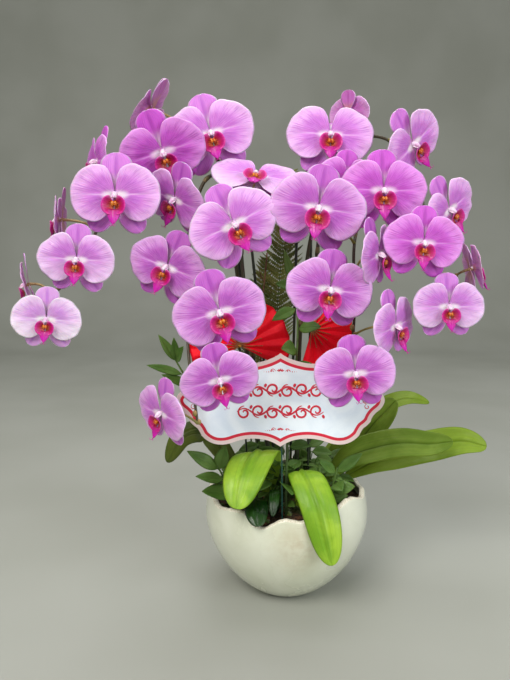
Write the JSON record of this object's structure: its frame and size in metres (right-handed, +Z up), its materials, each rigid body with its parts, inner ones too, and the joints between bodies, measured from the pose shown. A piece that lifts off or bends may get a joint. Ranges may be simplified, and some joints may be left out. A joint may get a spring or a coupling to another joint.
{
  "type": "potted moth orchid",
  "caption": "Arching sprays of moth orchid blooms over strap leaves, leafy sprays, fern and paper fans with a scalloped gift card, standing in a rounded ceramic eggshell pot.",
  "frame": {"origin": "middle of the pot's foot, on the surface that the pot stands on", "axes": "+Z up along the pot's axis, -Y towards the viewer and the face of the card, +X to the viewer's right"},
  "size_m": [0.5453, 0.2461, 0.6087],
  "materials": {
    "glaze": "gloss",
    "mix": "matte",
    "stake": "satin",
    "spray": "satin",
    "strap_leaf": "satin",
    "card": "matte",
    "bloom": "satin",
    "spike": "satin",
    "paper": "matte",
    "olive_leaf": "satin",
    "shaded_leaf": "gloss",
    "fern": "matte",
    "twig": "matte"
  },
  "bodies": {
    "root": {"pot": "glaze", "potting_mix": "mix", "card_wire": "stake", "centre_spray": "spray", "front_left_leaf": "strap_leaf", "front_right_leaf": "strap_leaf", "gift_card": "card", "inner_left_bloom_1": "bloom", "inner_left_bloom_2": "bloom", "inner_left_bloom_3": "bloom", "inner_left_bloom_4": "bloom", "inner_left_bloom_5": "bloom", "inner_left_bloom_6": "bloom", "inner_left_bloom_7": "bloom", "inner_left_spike": "spike", "inner_left_stake": "stake", "inner_right_bloom_1": "bloom", "inner_right_bloom_2": "bloom", "inner_right_bloom_3": "bloom", "inner_right_bloom_4": "bloom", "inner_right_bloom_5": "bloom", "inner_right_bloom_6": "bloom", "inner_right_bloom_7": "bloom", "inner_right_spike": "spike", "inner_right_stake": "stake", "left_fan": "paper", "left_low_spray": "spray", "left_olive_leaf": "olive_leaf", "left_tall_spray": "spray", "middle_leaf": "shaded_leaf", "notch_leaf": "shaded_leaf", "outer_left_bloom_1": "bloom", "outer_left_bloom_2": "bloom", "outer_left_bloom_3": "bloom", "outer_left_bloom_4": "bloom", "outer_left_bloom_5": "bloom", "outer_left_bloom_6": "bloom", "outer_left_bloom_7": "bloom", "outer_left_bloom_8": "bloom", "outer_left_bloom_9": "bloom", "outer_left_spike": "spike", "outer_left_stake": "stake", "outer_right_bloom_1": "bloom", "outer_right_bloom_2": "bloom", "outer_right_bloom_3": "bloom", "outer_right_bloom_4": "bloom", "outer_right_bloom_5": "bloom", "outer_right_bloom_6": "bloom", "outer_right_bloom_7": "bloom", "outer_right_spike": "spike", "outer_right_stake": "stake", "right_back_leaf": "strap_leaf", "right_broad_leaf": "strap_leaf", "right_fan": "paper", "right_long_leaf": "strap_leaf", "right_low_spray": "spray", "right_upper_leaf": "strap_leaf", "short_fern": "fern", "tall_fern": "fern", "twig": "twig"}
  },
  "joints": []
}
